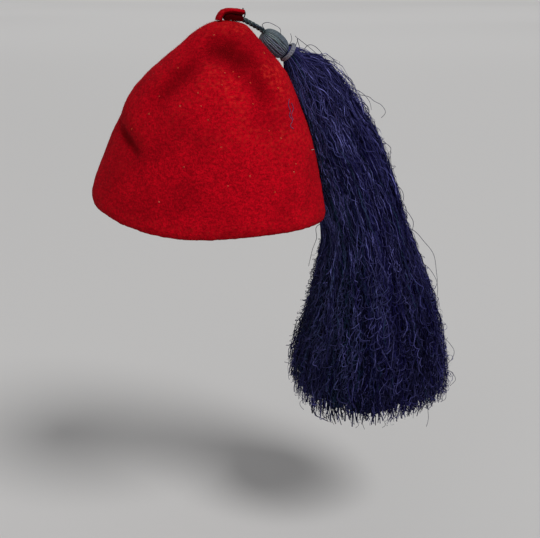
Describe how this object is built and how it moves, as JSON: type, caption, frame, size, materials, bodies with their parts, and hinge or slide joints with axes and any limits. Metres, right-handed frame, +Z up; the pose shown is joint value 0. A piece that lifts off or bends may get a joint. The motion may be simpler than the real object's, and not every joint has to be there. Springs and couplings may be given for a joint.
{
  "type": "felt chechia cap with tassel",
  "caption": "Tall soft red felt cap with a bent felt stalk on its crown and a long dark blue thread tassel hanging from a cord and wound knot; it is worn on the head.",
  "frame": {"origin": "the middle of the head opening, level with the mean height of the rim, where the cap sits on a head", "axes": "+Z up as worn, the tassel hangs along -Z; the forehead is towards -Y and the wearer's left towards +X"},
  "size_m": [0.218, 0.2792, 0.3402],
  "materials": {
    "felt_red": "milled wool felt, slightly worn",
    "cord_green": "twisted silk cord",
    "knot_green": "wound silk",
    "binding_grey": "wound thread",
    "thread_navy": "loose crinkled threads"
  },
  "bodies": {
    "root": {"felt_cap": "felt_red", "crown_stalk": "felt_red", "tassel_cord": "cord_green", "tassel_knot": "knot_green", "tassel_binding": "binding_grey", "tassel_skirt": "thread_navy"}
  },
  "joints": []
}
